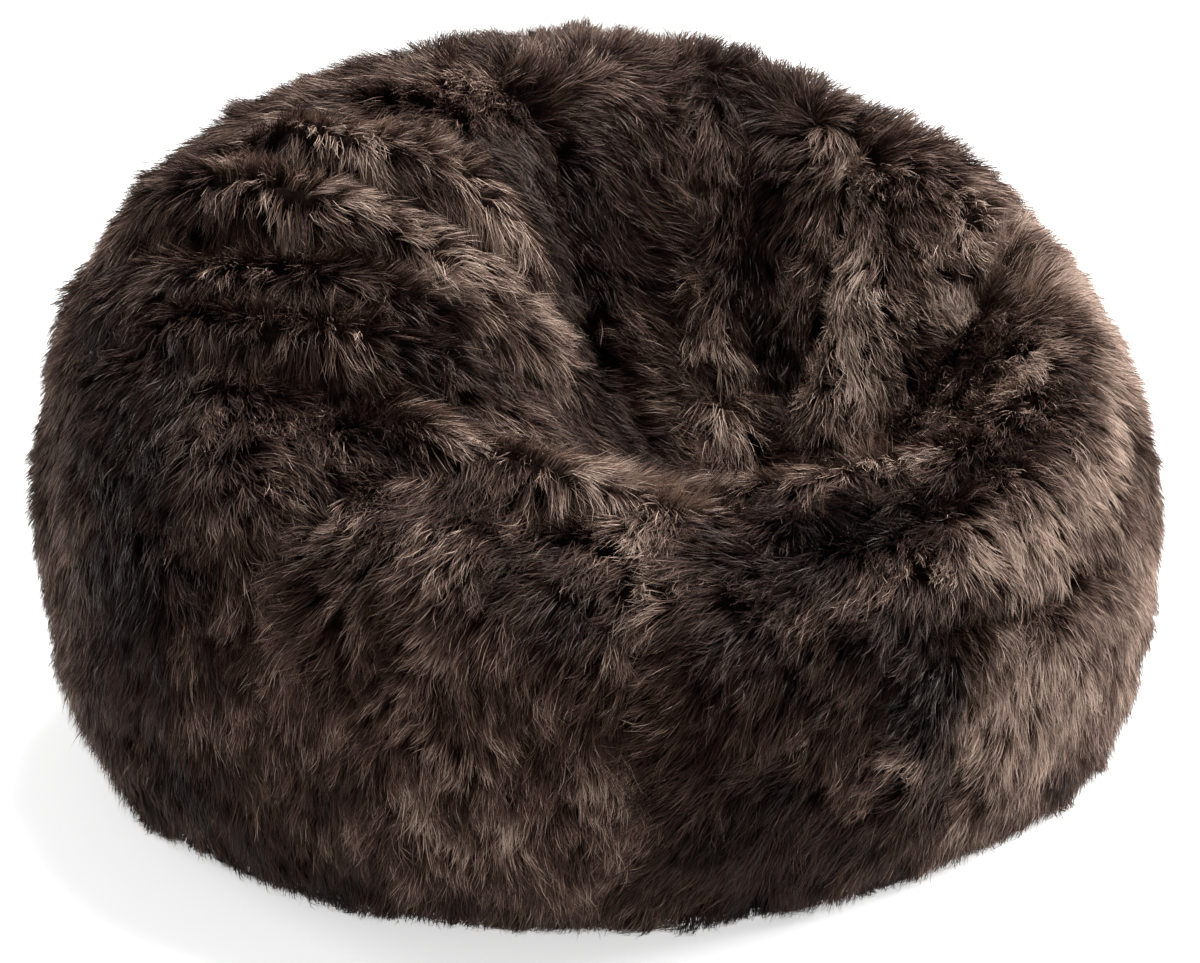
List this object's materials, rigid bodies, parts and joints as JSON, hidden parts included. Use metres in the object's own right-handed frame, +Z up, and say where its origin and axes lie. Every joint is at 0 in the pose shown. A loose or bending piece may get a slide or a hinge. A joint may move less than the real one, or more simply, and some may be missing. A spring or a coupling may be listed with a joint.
{
  "type": "bean bag chair",
  "caption": "Round bean bag chair in long brown fur, with a seat dent pressed into its top, a high back, a zipped base and a zipped liner full of beads.",
  "frame": {"origin": "centre of the footprint, on the floor", "axes": "+Z up, the low front of the seat toward -Y, the high back toward +Y"},
  "size_m": [1.0712, 1.0286, 0.6343],
  "materials": {
    "fur": "long brown pile on a hide backing",
    "suede": "dark brown suede with a felt backing",
    "zip_tape": "woven polyester tape",
    "zip_resin": "moulded resin teeth",
    "zip_metal": "dark bronze plated zinc",
    "liner_cotton": "undyed cotton",
    "liner_coil": "nylon coil on woven tape",
    "liner_metal": "nickel plated",
    "bead_foam": "expanded polystyrene beads"
  },
  "bodies": {
    "bag": {"fur_gore_01": "fur", "fur_gore_02": "fur", "fur_gore_03": "fur", "fur_gore_04": "fur", "fur_gore_05": "fur", "fur_gore_06": "fur", "fur_gore_07": "fur", "fur_gore_08": "fur", "fur_gore_09": "fur", "fur_gore_10": "fur", "fur_crown": "fur", "base_front": "suede", "base_back": "suede", "zip_tape_front": "zip_tape", "zip_tape_back": "zip_tape", "zip_teeth_front": "zip_resin", "zip_teeth_back": "zip_resin", "zip_stop_closed": "zip_metal", "zip_stop_open": "zip_metal", "liner_gore_1": "liner_cotton", "liner_gore_2": "liner_cotton", "liner_gore_3": "liner_cotton", "liner_gore_4": "liner_cotton", "liner_gore_5": "liner_cotton", "liner_crown": "liner_cotton", "liner_base_front": "liner_cotton", "liner_base_back": "liner_cotton", "liner_zip_front": "liner_coil", "liner_zip_back": "liner_coil", "bead_fill": "bead_foam"},
    "slider": {"zip_slider": "zip_metal", "zip_loop": "zip_metal"},
    "pull": {"zip_pull": "zip_metal"},
    "liner_slider": {"liner_zip_slider": "liner_metal"}
  },
  "joints": [
    {"name": "zip_travel", "type": "slide", "parent": "bag", "child": "slider", "axis": [1, 0, 0], "range_m": [0, 0.5]},
    {"name": "zip_pull_swing", "type": "hinge", "parent": "slider", "child": "pull", "pos_m": [-0.25, 0, 0.0022], "axis": [0, 1, 0], "range_deg": [0, 180]},
    {"name": "liner_zip_travel", "type": "slide", "parent": "bag", "child": "liner_slider", "axis": [1, 0, 0], "range_m": [0, 0.36]}
  ]
}
